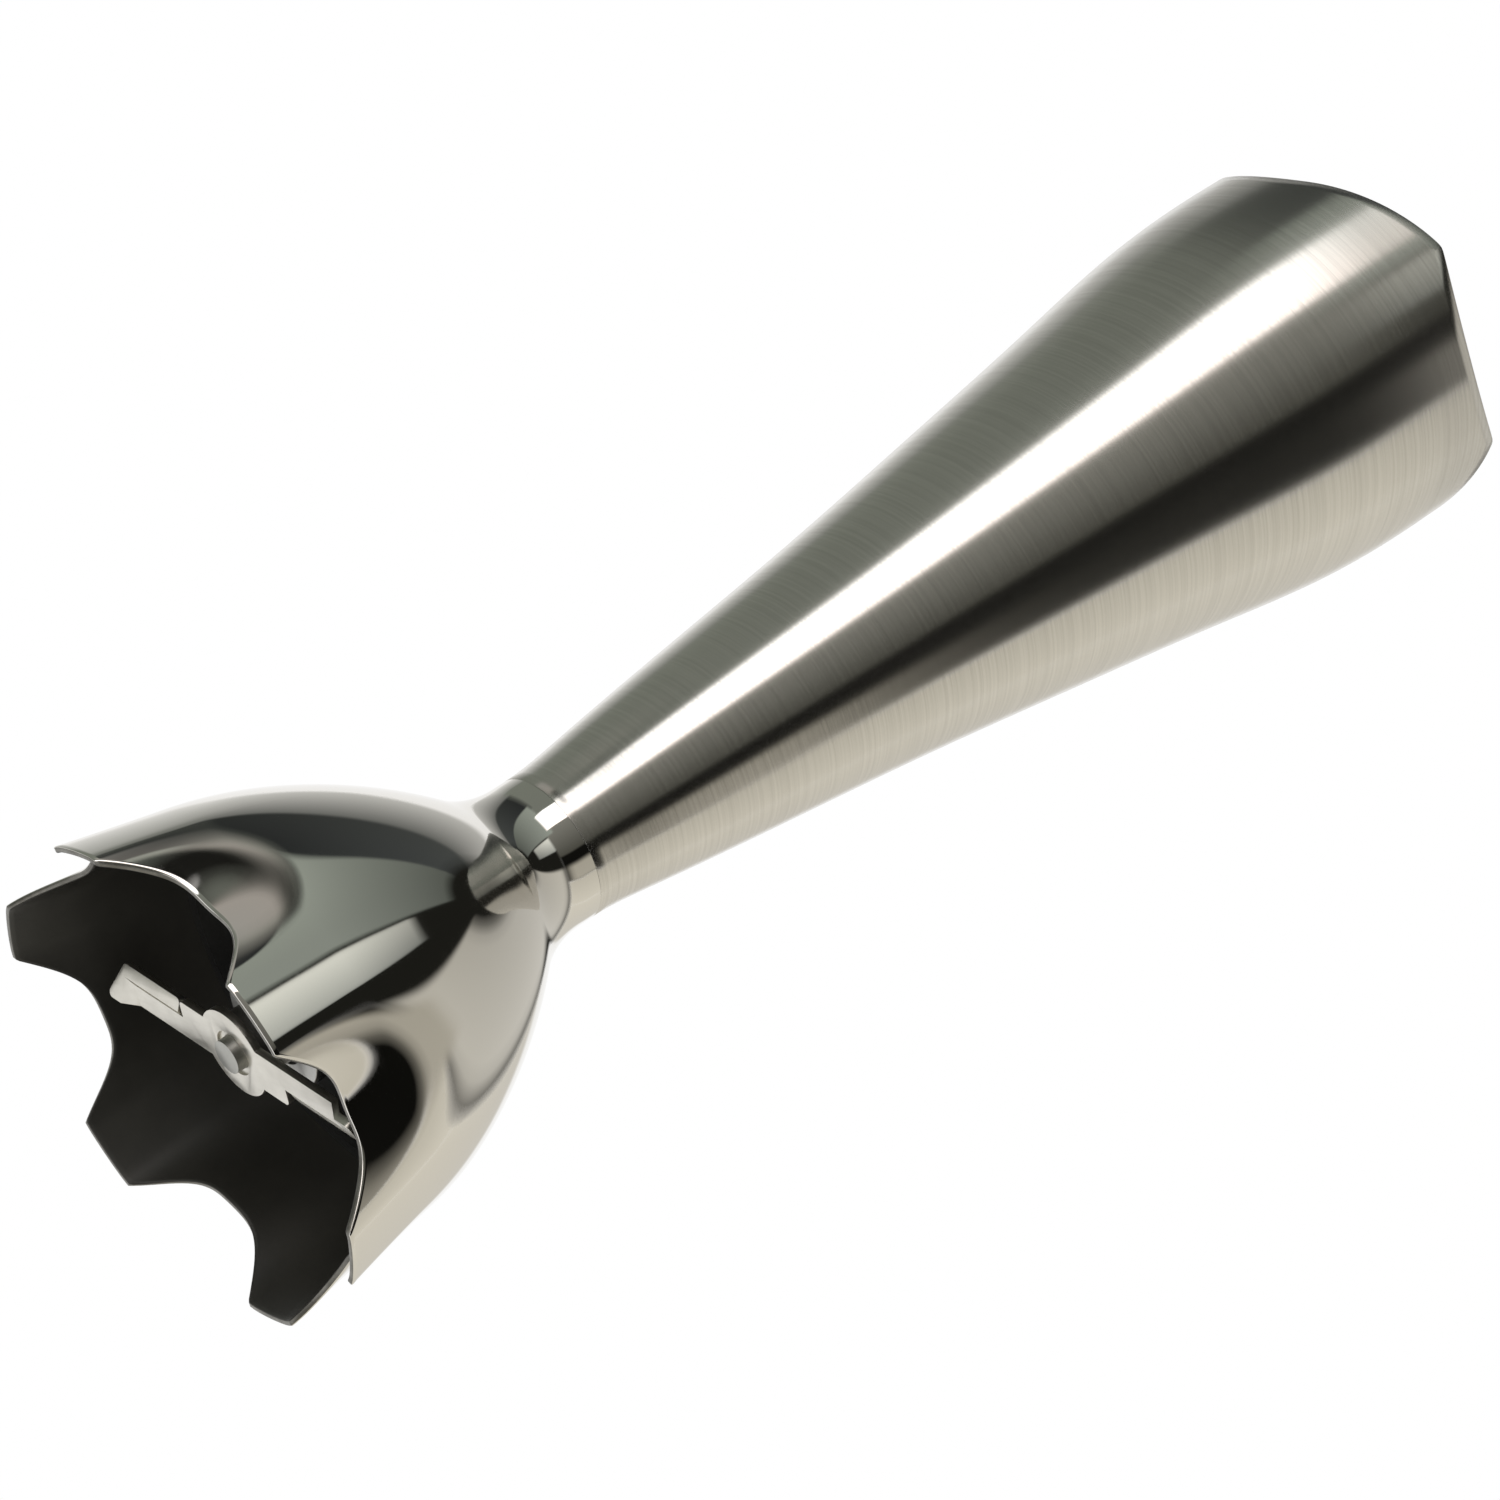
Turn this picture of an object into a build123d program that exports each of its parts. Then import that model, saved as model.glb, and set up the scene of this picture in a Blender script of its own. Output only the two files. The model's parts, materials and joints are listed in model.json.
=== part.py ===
from build123d import *
import os
from math import asin, cos, radians, sin, tan

# Blending wand of an immersion blender, standing on the teeth of its bell.
# +Z runs along the axis from the teeth to the coupling end. Millimetres, degrees.

# Outer sheet metal
overall_length = 202.0
mouth_radius = 32.25         # outer radius at the tooth ends
sheet = 0.8                  # wall of the bell and of the tube
skirt_height = 14.0          # the toothed skirt, below the dome
skirt_flare = 12.3           # slope of the skirt's wall from the axis
shoulder_angle = 41.5        # steepest slope of the dome, where it turns into the neck
neck_radius = 9.75
neck_fillet = 13.5           # concave turn from the dome into the neck
neck_land = 2.0              # straight neck of the bell, up to the joint with the tube
top_radius = 27.0
rim_band = 8.0               # straight band at the coupling end, above the flare
flare_shape = (              # share of the flare's height, share of its growth in radius
    (0.068, 0.052), (0.389, 0.371), (0.563, 0.571), (0.738, 0.783), (0.884, 0.957))

# Wavy rim at the coupling end
rim_peak_angle = 32.0        # from the front, four peaks
rim_peak_radius = 2.5
front_dip = 4.1              # below the peaks, front and back
side_dip = 7.8               # below the peaks, left and right
side_dip_radius = 20.0

# Teeth and scallops of the skirt
tooth_count = 6
tooth_half_angle = 8.33
scallop_depth = 6.5          # along the axis
scallop_roundness = 1.28     # fullness of a scallop's edge
dimple_depth = 6.0           # how far the wall is pressed in above a scallop
dimple_height = 19.0         # top of the dimple
dimple_margin = 0.6          # the dimple's half angle past the scallop's corner
dimple_softness = 0.5        # how gently the wall turns into the dimple
lobe_steps = 8               # wall sections from a scallop's middle to a tooth's middle
skirt_points = 9             # points along each section of the skirt

# Fits
fit_gap = 0.05               # round pieces seated in each other
running_gap = 0.03           # shaft in its bushes
end_gap = 0.3                # turning faces end to end
liner_gap = 0.15             # liner and socket inside the sheet metal

# Drive shaft and blade
shaft_radius = 2.5
journal_radius = 2.2         # lower end, through the blade
journal_length = 2.0
blade_height = 8.5           # underside of the blade
blade_thickness = 1.0
blade_hub_radius = 5.8
blade_recess_radius = 3.0
blade_recess_depth = 0.4
blade_azimuth = 103.5
wing_back = 2.7              # wing's edge opposite the flap, from its centre line
wing_front = 3.0             # wing's full-width edge beside the flap
wing_root_length = 9.9       # full width ends here
fold_offset = 0.5            # fold line from the wing's centre line
fold_end = 19.8              # the tip starts to twist here
flap_start = 11.0
flap_width = 1.65
flap_pitch = 25.0
tip_start = 22.0
tip_reach = 24.9
tip_rake = 2.5               # how much shorter the tip is on the flap's side
tip_back = 3.4               # tip's far edge from the fold line
blade_corner = 0.7

# Lower bearing
liner_wall = 1.6
liner_rim_gap = 2.5          # liner's lower rim above the dimples
liner_ceiling = 42.0
boss_radius = 8.2
boss_bottom = 15.0
liner_boss_top = 66.0
sleeve_radius = 6.5
sleeve_bore = 5.2
sleeve_top = 60.0
cap_thickness = 0.8
cap_hole_radius = 4.9
seal_height = 3.5
seal_lip_height = 0.8
seal_throat_radius = 3.4
bush_height = 12.0
bush_chamfer = 0.4
washer_thickness = 0.8
washer_radius = 4.7
clip_thickness = 0.8
clip_radius = 4.3
clip_groove_depth = 0.45
clip_mouth = 3.2
spacer_radius = 4.4
ring_width = 1.4             # sealing ring of the liner
ring_depth = 1.0
ring_rise = 3.5              # above the liner's rim

# Upper bearing, socket and coupling
tube_liner_wall = 1.1
guide_height = 8.0
socket_inset = 11.0          # socket's top below the rim's peaks
socket_depth = 20.0
socket_wall = 3.55
socket_floor_thickness = 3.0
seat_width = 2.0             # ledge that the handle sits on, above the well round the coupling
seat_gap = 0.6               # handle's seat above the coupling
socket_hub_radius = 9.0
socket_hub_height = 14.0     # hub's lower end below the socket's floor
hub_seat_depth = 4.0         # the inner tube's end stands this far up in the hub
hub_step_gap = 0.12          # shaft in the hub, between bush and inner tube
upper_bush_radius = 4.6
upper_bush_height = 9.0
latch_width = 12.0
latch_height = 5.5
latch_depth = 1.6
latch_below_top = 4.5
rib_count = 6
rib_thickness = 2.0
gasket_thickness = 1.6
gasket_inset = 0.6
spring_height = 1.0
spring_thickness = 0.4
coupling_hub_radius = 4.2
coupling_radius = 6.8
coupling_height = 6.8
coupling_dogs = 4
dog_width = 2.4
dog_chamfer = 0.8
coupling_cap = 1.6           # closed top over the shaft's end
pin_radius = 1.0
pin_rise = 2.6               # pin above the coupling's lower face

# Worked out from the sizes above
flare = radians(skirt_flare)
shoulder = radians(shoulder_angle)
skirt_radius = mouth_radius - skirt_height * tan(flare)
dome_radius = ((skirt_radius - neck_radius - neck_fillet * (1 - cos(shoulder)))
               / (cos(flare) - cos(shoulder)))
dome_center = (skirt_radius - dome_radius * cos(flare), skirt_height - dome_radius * sin(flare))
neck_height = (skirt_height + neck_fillet * sin(shoulder)
               + dome_radius * (sin(shoulder) - sin(flare)))
joint_height = neck_height + neck_land
straight_rim_height = overall_length - rim_band
tooth_pitch = 360.0 / tooth_count
scallop_half_angle = tooth_pitch / 2 - tooth_half_angle
dimple_half_angle = scallop_half_angle + dimple_margin
liner_rim_height = dimple_height + liner_rim_gap
ring_height = liner_rim_height + ring_rise

blade_top = blade_height + blade_thickness
journal_bottom = blade_top - journal_length
cap_bottom = boss_bottom - cap_thickness
seal_bottom = boss_bottom
lower_bush_bottom = seal_bottom + seal_height
lower_bush_top = lower_bush_bottom + bush_height
lower_washer_top = lower_bush_top + washer_thickness
clip_bottom = lower_washer_top + end_gap
tube_liner_bore = sleeve_radius - tube_liner_wall
socket_top = overall_length - socket_inset
socket_floor = socket_top - socket_depth
socket_hub_bottom = socket_floor - socket_hub_height
socket_bore_radius = top_radius - sheet - liner_gap - socket_wall
socket_well_radius = socket_bore_radius - seat_width
tube_liner_top = socket_hub_bottom + hub_seat_depth
guide_middle = (sleeve_top + tube_liner_top) / 2
upper_washer_top = socket_floor + washer_thickness
spring_bottom = upper_washer_top + end_gap
coupling_bottom = spring_bottom + spring_height
coupling_top = coupling_bottom + coupling_height
shaft_top = coupling_top - coupling_cap
socket_seat = coupling_top + seat_gap
pin_height = coupling_bottom + pin_rise


def dome_point(angle, depth):
    """Point (radius, height) of the dome's arc, this deep inside its outer face."""
    reach = dome_radius - depth
    return (dome_center[0] + reach * cos(angle), dome_center[1] + reach * sin(angle))


def neck_point(angle, depth):
    """Point of the concave turn between dome and neck, this deep inside its outer face."""
    reach = neck_fillet + depth
    return (neck_radius + neck_fillet - reach * cos(angle), neck_height - reach * sin(angle))


def dome_angle(height, depth):
    """Angle on the dome's arc at a height."""
    return asin((height - dome_center[1]) / (dome_radius - depth))


def dome_arc(low, depth):
    """Arc of the dome from an angle up to the shoulder."""
    return ThreePointArc(dome_point(low, depth), dome_point((low + shoulder) / 2, depth),
                         dome_point(shoulder, depth))


def neck_arc(depth):
    return ThreePointArc(neck_point(shoulder, depth), neck_point(shoulder / 2, depth),
                         neck_point(0, depth))


def turned(*pieces):
    """Solid of revolution about Z of a closed outline in (radius, height)."""
    outline = make_face([Plane.XZ * edge for piece in pieces for edge in piece.edges()])
    return revolve(outline, Axis.Z)


def turned_polygon(*points):
    return turned(Polyline(*points, close=True))


def ring(inner, outer, bottom, top):
    return turned_polygon((inner, bottom), (outer, bottom), (outer, top), (inner, top))


def chamfered_ring(inner, outer, bottom, top, size):
    """Ring with its outer corners broken."""
    return turned_polygon((inner, bottom), (outer - size, bottom), (outer, bottom + size),
                          (outer, top - size), (outer - size, top), (inner, top))


def around(solid, count):
    """The same solid set round the axis."""
    return [Rot(0, 0, 360.0 * i / count) * solid for i in range(count)]


# Bell: one wall from neck to teeth, lofted lobe by lobe round the axis
def edge_rise(angle):
    """Height of the skirt's edge at an angle from a scallop's middle, below zero in a tooth."""
    corner = tooth_count * radians(scallop_half_angle)
    swing = ((scallop_depth + scallop_roundness * (1 - cos(2 * corner))) / (1 - cos(corner)))
    mean = scallop_depth + scallop_roundness - swing
    turn = tooth_count * radians(angle)
    return mean + swing * cos(turn) - scallop_roundness * cos(2 * turn)


def wall_radius(angle, height):
    """Outer radius of the dome or skirt, pressed in by a rounded dimple above each scallop."""
    plain = mouth_radius - height * tan(flare)
    if height > skirt_height:
        plain = dome_point(dome_angle(height, 0), 0)[0]
    inside = max(0.0, 1 - (angle / dimple_half_angle) ** 2 - (height / dimple_height) ** 2)
    return plain - dimple_depth * inside ** 2 / (inside + dimple_softness)


def skirt_section(angle):
    """Outer and inner points (radius, height) of the skirt's wall at an angle, from the dome down."""
    rise = edge_rise(angle)
    step = sheet / 8
    outer = []
    inner = []
    for i in range(skirt_points + 1):
        height = liner_rim_height + (rise - liner_rim_height) * i / skirt_points
        slope = (wall_radius(angle, height - step) - wall_radius(angle, height + step)) / (2 * step)
        normal = Vector(1, slope).normalized()
        point = Vector(wall_radius(angle, height), height)
        outer.append(point)
        inner.append(point - normal * sheet)
    return outer, inner


def turned_point(point, angle):
    """A (radius, height) point set at an angle about the axis."""
    turn = radians(angle)
    return Vector(point[0] * cos(turn), point[0] * sin(turn), point[1])


def wall_face(skirt, depth, angle):
    """Edges of one face of the bell's wall, from the joint with the tube down to the skirt's edge."""
    low = dome_angle(skirt[0].Y, depth)
    neck = [neck_point(shoulder * i / 2, depth) for i in range(3)]
    dome = [dome_point(shoulder + (low - shoulder) * i / 2, depth) for i in range(3)]
    top = (neck_radius - depth, joint_height)
    below = dome[2:] + [(p.X, p.Y) for p in skirt[1:]]
    at = lambda points: [turned_point(p, angle) for p in points]
    return [Edge.make_line(*at((top, neck[0]))), Edge.make_three_point_arc(*at(neck)),
            Edge.make_three_point_arc(*at(dome)), Edge.make_spline(at(below))]


def wall_wire(angle):
    outer, inner = skirt_section(angle)
    outside = wall_face(outer, 0, angle)
    inside = wall_face(inner, sheet, angle)
    bottom = Edge.make_line(outside[-1] @ 1, inside[-1] @ 1)
    top = Edge.make_line(inside[0] @ 0, outside[0] @ 0)
    return Wire(outside + [bottom] + inside[::-1] + [top])


def bell_lobe():
    """One scallop with half a tooth on each side."""
    steps = range(-lobe_steps, lobe_steps + 1)
    return Solid.make_loft([wall_wire(tooth_pitch / 2 * i / lobe_steps) for i in steps])


def make_bell_guard():
    trim = Pos(0, 0, -mouth_radius) * Cylinder(2 * mouth_radius, 2 * mouth_radius)
    lobe = Rot(0, 0, tooth_pitch / 2) * (bell_lobe() - trim)
    lobes = around(lobe, tooth_count)
    return lobes[0].fuse(*lobes[1:])


# Tube: a flared shell with a wavy rim
def flare_edge():
    height = straight_rim_height - joint_height
    growth = top_radius - neck_radius
    points = [(neck_radius, joint_height)]
    points += [(neck_radius + growth * g, joint_height + height * h) for h, g in flare_shape]
    points += [(top_radius, straight_rim_height)]
    return Spline(*points, tangents=((0, 1), (0, 1)))


def flare_inside(depth, count=12):
    """Points of the flare's curve, this deep inside the tube."""
    edge = flare_edge()
    points = []
    for i in range(count + 1):
        along = edge % (i / count)
        at = edge @ (i / count)
        points.append((at.X - depth * along.Y, at.Y + depth * along.X))
    return points


def flare_radius(height, depth):
    """Radius of the tube's wall at a height, this deep inside its outer face."""
    edge = flare_edge()
    low, high = 0.0, 1.0
    for _ in range(40):
        middle = (low + high) / 2
        if (edge @ middle).Y < height:
            low = middle
        else:
            high = middle
    at = edge @ low
    along = edge % low
    return at.X - depth / along.Y


def rim_cutter():
    """What is cut off the tube's top: a dip front and back, and a dip on each side."""
    peak = radians(rim_peak_angle)
    across = top_radius * sin(peak)
    along = top_radius * cos(peak)
    reach = 3 * top_radius
    front_radius = (across ** 2 + front_dip ** 2) / (2 * front_dip)
    front_height = overall_length - front_dip + front_radius
    front = Pos(0, 0, front_height) * Rot(90, 0, 0) * Cylinder(front_radius, reach)
    valley = Polyline((-along, overall_length), (0, overall_length - side_dip - valley_drop()),
                      (along, overall_length), close=True)
    face = make_face(valley)
    low = face.vertices().sort_by(Axis.Y)[0]
    side = extrude(Plane.YZ * fillet(low, side_dip_radius), reach, both=True)
    return [front, side]


def valley_drop():
    """How far the sharp valley lies below the rounded one."""
    along = top_radius * cos(radians(rim_peak_angle))
    drop = 0.0
    for _ in range(30):
        slope = (side_dip + drop) / along
        drop = side_dip_radius * ((1 + slope ** 2) ** 0.5 - 1)
    return drop


def make_shaft_tube():
    inside = flare_inside(sheet)
    top_in = top_radius - sheet
    neck_in = neck_radius - sheet
    shell = turned(
        flare_edge(),
        Polyline((top_radius, straight_rim_height), (top_radius, overall_length),
                 (top_in, overall_length), (top_in, straight_rim_height)),
        Spline(*reversed(inside), tangents=((0, -1), (0, -1))),
        Line((neck_in, joint_height), (neck_radius, joint_height)))
    for cutter in rim_cutter():
        shell = shell - cutter
    top = shell.edges().filter_by(is_rim_peak)
    return fillet(top, rim_peak_radius)


def is_rim_peak(edge):
    """A short edge across the wall at one of the four peaks."""
    return edge.length < 2 * sheet and (edge @ 0.5).Z > overall_length - side_dip / 4


# Lower bearing
def make_bell_liner():
    outer = sheet + liner_gap
    inner = outer + liner_wall
    low_out = dome_angle(liner_rim_height, outer)
    low_in = dome_angle(liner_rim_height, inner)
    high_in = dome_angle(liner_ceiling, inner)
    bore = sleeve_radius + fit_gap
    neck_out = neck_radius - outer
    shell = turned(
        dome_arc(low_out, outer),
        neck_arc(outer),
        Polyline((neck_out, neck_height), (neck_out, liner_boss_top), (bore, liner_boss_top),
                 (bore, boss_bottom), (boss_radius, boss_bottom), (boss_radius, liner_ceiling),
                 dome_point(high_in, inner)),
        ThreePointArc(dome_point(high_in, inner), dome_point((high_in + low_in) / 2, inner),
                      dome_point(low_in, inner)),
        Line(dome_point(low_in, inner), dome_point(low_out, outer)))
    return shell - liner_seal(fit_gap)


def liner_seal(clearance):
    """Square sealing ring, sunk in the liner under the bell's wall and grown by a clearance."""
    middle = dome_angle(ring_height, sheet)
    half = (ring_width / 2 + clearance) / dome_radius
    top = sheet + fit_gap
    floor = top + ring_depth + clearance
    return turned_polygon(dome_point(middle - half, top), dome_point(middle - half, floor),
                          dome_point(middle + half, floor), dome_point(middle + half, top))


def make_shaft_seal():
    outside = sleeve_bore - fit_gap
    lip = shaft_radius + running_gap
    top = seal_bottom + seal_height
    return turned_polygon(
        (seal_throat_radius, seal_bottom), (outside, seal_bottom), (outside, top),
        (lip, top), (lip, top - seal_lip_height), (seal_throat_radius, top - 2 * seal_lip_height))


def make_clip():
    """Spring clip with an open mouth, in the shaft's groove."""
    seat = shaft_radius - clip_groove_depth + fit_gap
    whole = ring(seat, clip_radius, clip_bottom, clip_bottom + clip_thickness)
    mouth = Pos(clip_radius, 0, clip_bottom) * Box(2 * clip_radius, clip_mouth, 4 * clip_thickness)
    return whole - mouth


def make_drive_shaft():
    groove = shaft_radius - clip_groove_depth
    low = clip_bottom - fit_gap
    high = clip_bottom + clip_thickness + fit_gap
    shaft = turned_polygon(
        (0, journal_bottom), (journal_radius, journal_bottom), (journal_radius, blade_top),
        (shaft_radius, blade_top), (shaft_radius, low), (groove, low), (groove, high),
        (shaft_radius, high), (shaft_radius, shaft_top), (0, shaft_top))
    return shaft - pin_bar(pin_radius + fit_gap, 4 * shaft_radius)


def pin_bar(radius, length):
    return Pos(0, 0, pin_height) * Rot(0, 90, 0) * Cylinder(radius, length)


# Blade: two flat wings, each with a pitched flap along one edge that widens into the tip
def blade_plate():
    root = Polyline((0, -wing_back), (fold_end, -wing_back), (fold_end, fold_offset),
                    (wing_root_length, fold_offset), (wing_root_length, wing_front),
                    (0, wing_front), close=True)
    outer = make_face(root)
    corner = outer.vertices().filter_by(lambda v: v.X > 1 and v.Y > wing_front / 2)
    wing = fillet(corner, blade_corner)
    plan = Circle(blade_hub_radius) + wing + Rot(0, 0, 180) * wing
    return extrude(Pos(0, 0, blade_height) * plan, blade_thickness)


def blade_flap():
    """Flap and tip in the flap's own plane, with the fold line as X."""
    slope_end = tip_reach - tip_rake
    plan = make_face(Polyline(
        (flap_start, 0), (tip_start, 0), (tip_start, -tip_back), (tip_reach, -tip_back),
        (slope_end, flap_width), (flap_start, flap_width), close=True))
    corners = plan.vertices().filter_by(
        lambda v: v.X > tip_start + blade_corner / 9 or v.Y > flap_width / 2)
    flat = extrude(fillet(corners, blade_corner), blade_thickness / 2, both=True)
    return fold_line() * Rot(flap_pitch, 0, 0) * flat


def fold_line():
    return Pos(0, fold_offset, blade_height + blade_thickness / 2)


def blade_twist():
    """The wing's floor turning from flat to the pitch of the tip."""
    half = blade_thickness / 2
    start = Plane(origin=(fold_end, 0, 0), x_dir=(0, 1, 0), z_dir=(1, 0, 0))
    end = Plane(origin=(tip_start, 0, 0), x_dir=(0, 1, 0), z_dir=(1, 0, 0))
    floor_back = wing_back + fold_offset
    flat = start * Pos(-floor_back / 2, 0) * Rectangle(floor_back, 2 * half)
    pitched = end * Rot(0, 0, flap_pitch) * Pos(-tip_back / 2, 0) * Rectangle(tip_back, 2 * half)
    return fold_line() * loft([flat, pitched], ruled=True)


def make_blade():
    blade = blade_plate()
    for turn in (0, 180):
        blade = blade + Rot(0, 0, turn) * blade_flap()
        blade = blade + Rot(0, 0, turn) * blade_twist()
    hole = Cylinder(journal_radius + fit_gap, 4 * blade_top)
    recess = Pos(0, 0, blade_height) * Cylinder(blade_recess_radius, 2 * blade_recess_depth)
    return Rot(0, 0, blade_azimuth) * (blade - hole - recess)


# Upper bearing, socket and coupling
def make_coupling_socket():
    outer = sheet + liner_gap
    floor_bottom = socket_floor - socket_floor_thickness
    heights = (floor_bottom, (floor_bottom + socket_top) / 2, socket_top)
    low, middle, high = [(flare_radius(h, outer), h) for h in heights]
    bush_bore = upper_bush_radius + fit_gap
    bush_bottom = socket_floor - upper_bush_height
    step = shaft_radius + hub_step_gap
    seat_bore = sleeve_radius + fit_gap
    cup = turned(
        Spline(low, middle, high),
        Polyline(high, (socket_bore_radius, socket_top), (socket_bore_radius, socket_seat),
                 (socket_well_radius, socket_seat), (socket_well_radius, socket_floor),
                 (bush_bore, socket_floor), (bush_bore, bush_bottom), (step, bush_bottom),
                 (step, tube_liner_top), (seat_bore, tube_liner_top),
                 (seat_bore, socket_hub_bottom), (socket_hub_radius, socket_hub_bottom),
                 (socket_hub_radius, floor_bottom), low))
    for pocket in latch_pockets():
        cup = cup - pocket
    return cup + socket_ribs(floor_bottom)


def latch_pockets():
    """Pockets for the two hooks of the handle, left and right."""
    middle = socket_top - latch_below_top - latch_height / 2
    pocket = Box(2 * latch_depth, latch_width, latch_height)
    return [Pos(side * socket_bore_radius, 0, middle) * pocket for side in (-1, 1)]


def socket_ribs(floor_bottom):
    """Ribs under the floor, from the hub out to the wall."""
    wall = flare_radius(floor_bottom, sheet + liner_gap)
    foot = socket_hub_bottom + hub_seat_depth
    outline = make_face(Polyline((socket_hub_radius - rib_thickness / 2, floor_bottom),
                                 (wall - liner_wall, floor_bottom),
                                 (socket_hub_radius - rib_thickness / 2, foot), close=True))
    rib = extrude(Plane.XZ * outline, rib_thickness / 2, both=True)
    return around(rib, rib_count)


def make_spring_washer():
    """Cone spring washer that takes up the shaft's end play."""
    inner = shaft_radius + fit_gap
    base = spring_bottom
    top = coupling_bottom
    return turned_polygon((inner, top - spring_thickness), (washer_radius, base),
                          (washer_radius, base + spring_thickness), (inner, top))


def make_drive_coupling():
    hub = chamfered_ring(0, coupling_hub_radius, coupling_bottom, coupling_top, dog_chamfer)
    reach = coupling_radius
    height = coupling_height
    dog = Pos(reach / 2, 0, coupling_bottom + height / 2) * Box(reach, dog_width, height)
    edge = dog.edges().filter_by(Axis.Y).sort_by(lambda e: e.center().X + e.center().Z)[-1]
    dogs = around(chamfer(edge, dog_chamfer), coupling_dogs)
    body = hub.fuse(*dogs)
    bore = ring(0, shaft_radius + fit_gap, coupling_bottom - end_gap, shaft_top)
    return body - bore - pin_bar(pin_radius + fit_gap, 4 * coupling_radius)


parts = {
    "shaft_tube": make_shaft_tube(),
    "bell_guard": make_bell_guard(),
    "bell_liner": make_bell_liner(),
    "liner_ring": liner_seal(0),
    "bearing_sleeve": ring(sleeve_bore, sleeve_radius, boss_bottom, sleeve_top),
    "seal_cap": ring(cap_hole_radius, boss_radius, cap_bottom, boss_bottom),
    "shaft_seal": make_shaft_seal(),
    "lower_bush": chamfered_ring(shaft_radius + running_gap, sleeve_bore - fit_gap,
                                 lower_bush_bottom, lower_bush_top, bush_chamfer),
    "lower_washer": ring(shaft_radius + 2 * running_gap, washer_radius,
                         lower_bush_top, lower_washer_top),
    "lower_circlip": make_clip(),
    "drive_shaft": make_drive_shaft(),
    "blade": make_blade(),
    "blade_spacer": ring(shaft_radius + fit_gap, spacer_radius, blade_top, cap_bottom - end_gap),
    "inner_tube": ring(tube_liner_bore, sleeve_radius, sleeve_top, tube_liner_top),
    "shaft_guide": ring(shaft_radius + 3 * running_gap, tube_liner_bore - fit_gap,
                        guide_middle - guide_height / 2, guide_middle + guide_height / 2),
    "coupling_socket": make_coupling_socket(),
    "upper_bush": ring(shaft_radius + running_gap, upper_bush_radius,
                       socket_floor - upper_bush_height, socket_floor),
    "upper_washer": ring(shaft_radius + 2 * running_gap, washer_radius,
                         socket_floor, upper_washer_top),
    "spring_washer": make_spring_washer(),
    "drive_coupling": make_drive_coupling(),
    "coupling_pin": pin_bar(pin_radius, 2 * coupling_hub_radius),
    "socket_gasket": ring(socket_bore_radius + gasket_inset,
                          flare_radius(socket_top, sheet + liner_gap) - gasket_inset,
                          socket_top, socket_top + gasket_thickness),
}

os.makedirs("parts", exist_ok=True)
for name, solid in parts.items():
    export_step(solid, f"parts/{name}.step")
    print(name, round(solid.volume, 1))
print("neck height", round(neck_height, 2), "joint height", round(joint_height, 2))
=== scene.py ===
import json
from math import cos, exp, pi, radians, sin, sqrt, tan
import bmesh
import bpy
from mathutils import Matrix, Vector


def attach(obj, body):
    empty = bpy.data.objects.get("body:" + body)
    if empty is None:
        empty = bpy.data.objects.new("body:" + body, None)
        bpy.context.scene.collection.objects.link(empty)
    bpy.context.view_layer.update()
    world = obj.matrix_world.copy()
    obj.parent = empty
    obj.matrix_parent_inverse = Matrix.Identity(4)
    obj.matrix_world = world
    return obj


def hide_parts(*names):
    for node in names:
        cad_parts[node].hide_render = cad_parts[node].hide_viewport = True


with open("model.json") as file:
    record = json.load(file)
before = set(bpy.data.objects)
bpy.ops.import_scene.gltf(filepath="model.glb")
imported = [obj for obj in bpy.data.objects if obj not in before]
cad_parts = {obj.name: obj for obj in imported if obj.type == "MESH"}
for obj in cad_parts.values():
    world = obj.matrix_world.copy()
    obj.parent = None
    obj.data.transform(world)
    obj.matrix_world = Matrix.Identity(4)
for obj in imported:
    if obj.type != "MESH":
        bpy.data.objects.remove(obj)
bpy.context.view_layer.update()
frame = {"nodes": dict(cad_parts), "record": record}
mm = 0.001      # sizes of pieces and patterns are in millimetres, the studio's in metres
print("frame loaded:", len(frame["nodes"]), "nodes")


# Small helpers
def linear(hexColour):
    # sRGB hex to linear light
    parts = [int(hexColour[i:i + 2], 16) / 255 for i in (1, 3, 5)]
    return tuple(c / 12.92 if c <= 0.04045 else ((c + 0.055) / 1.055) ** 2.4 for c in parts) + (1.0,)


def addNode(tree, kind, inputs=None, **settings):
    node = tree.nodes.new(kind)
    for name, value in settings.items():
        setattr(node, name, value)
    for name, value in (inputs or {}).items():
        if isinstance(value, bpy.types.NodeSocket):
            tree.links.new(value, node.inputs[name])
        else:
            node.inputs[name].default_value = value
    return node


def newMaterial(name):
    material = bpy.data.materials.new(name)
    material.use_nodes = True
    material.node_tree.nodes.clear()
    return material, material.node_tree


def newObject(name, data):
    piece = bpy.data.objects.new(name, data)
    bpy.context.scene.collection.objects.link(piece)
    return piece


def hideFrom(piece, *rays):
    for ray in rays:
        setattr(piece, "visible_" + ray, False)


def gridMesh(name, columns, closed):
    # columns of points side by side, joined into quads; closed joins the last column to the first
    rows = len(columns[0])
    count = len(columns)
    faces = []
    for c in range(count if closed else count - 1):
        d = (c + 1) % count
        faces += [(c * rows + r, d * rows + r, d * rows + r + 1, c * rows + r + 1) for r in range(rows - 1)]
    mesh = bpy.data.meshes.new(name)
    mesh.from_pydata([p for column in columns for p in column], [], faces)
    return mesh


def closeSeams(mesh, gap):
    # merges points closer than the gap and turns every face outwards
    shape = bmesh.new()
    shape.from_mesh(mesh)
    bmesh.ops.remove_doubles(shape, verts=shape.verts, dist=gap * mm)
    bmesh.ops.recalc_face_normals(shape, faces=shape.faces)
    shape.to_mesh(mesh)
    shape.free()


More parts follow.
